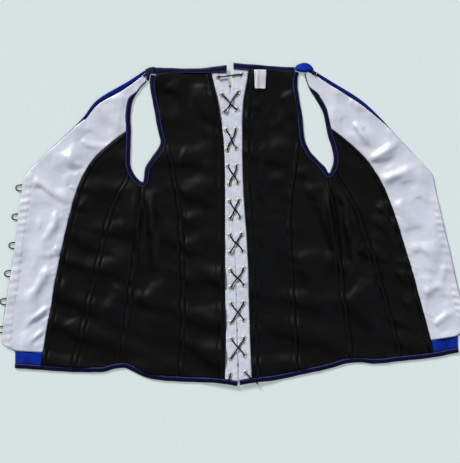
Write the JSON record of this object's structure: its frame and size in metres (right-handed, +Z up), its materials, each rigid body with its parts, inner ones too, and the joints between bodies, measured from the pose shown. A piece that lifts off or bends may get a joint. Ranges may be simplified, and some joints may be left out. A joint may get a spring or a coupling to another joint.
{
  "type": "boned waistcoat",
  "caption": "Boned costume waistcoat laid open flat, lining up: satin lining with bone channels, white facings, velvet shell, laced back strips and wire eye loops",
  "frame": {"origin": "centre of the laid-out garment's bounding box, on the surface that it lies on", "axes": "+Z up from the surface, lining uppermost; +Y from the hem to the neck; +X across the opened garment from the loop edge to the hook edge"},
  "size_m": [0.759, 0.5166, 0.0123],
  "materials": {
    "satin_lining": "black satin lining on blue velvet shell, soft sheen",
    "bone_channel": "black satin tape, twin stitched",
    "white_satin": "white satin with a cool sheen",
    "blue_velvet": "royal blue velvet",
    "navy_binding": "dark navy velvet bias binding with a blue edge",
    "lace_cord": "black braided cord",
    "loop_wire": "dark nickel wire",
    "label_tape": "plain white woven label"
  },
  "bodies": {
    "root": {"armhole_binding_left": "navy_binding", "armhole_binding_right": "navy_binding", "back_panel_left": "satin_lining", "back_panel_right": "satin_lining", "bone_channel_a_left": "bone_channel", "bone_channel_a_right": "bone_channel", "bone_channel_b_left": "bone_channel", "bone_channel_b_right": "bone_channel", "bone_channel_c_left": "bone_channel", "bone_channel_c_right": "bone_channel", "bone_channel_d_left": "bone_channel", "bone_channel_d_right": "bone_channel", "bone_channel_e_left": "bone_channel", "bone_channel_e_right": "bone_channel", "care_label": "label_tape", "eye_loop_1": "loop_wire", "eye_loop_2": "loop_wire", "eye_loop_3": "loop_wire", "eye_loop_4": "loop_wire", "eye_loop_5": "loop_wire", "eye_loop_6": "loop_wire", "front_facing_left": "white_satin", "front_facing_right": "white_satin", "front_shell_left": "blue_velvet", "front_shell_right": "blue_velvet", "hem_binding_left": "navy_binding", "hem_binding_right": "navy_binding", "lace": "lace_cord", "lacing_strip_left": "white_satin", "lacing_strip_right": "white_satin", "neck_binding_left": "navy_binding", "neck_binding_right": "navy_binding", "shoulder_fold_left": "blue_velvet", "shoulder_fold_right": "blue_velvet", "side_back_left": "satin_lining", "side_back_right": "satin_lining", "side_front_left": "satin_lining", "side_front_right": "satin_lining", "side_panel_left": "satin_lining", "side_panel_right": "satin_lining"}
  },
  "joints": []
}
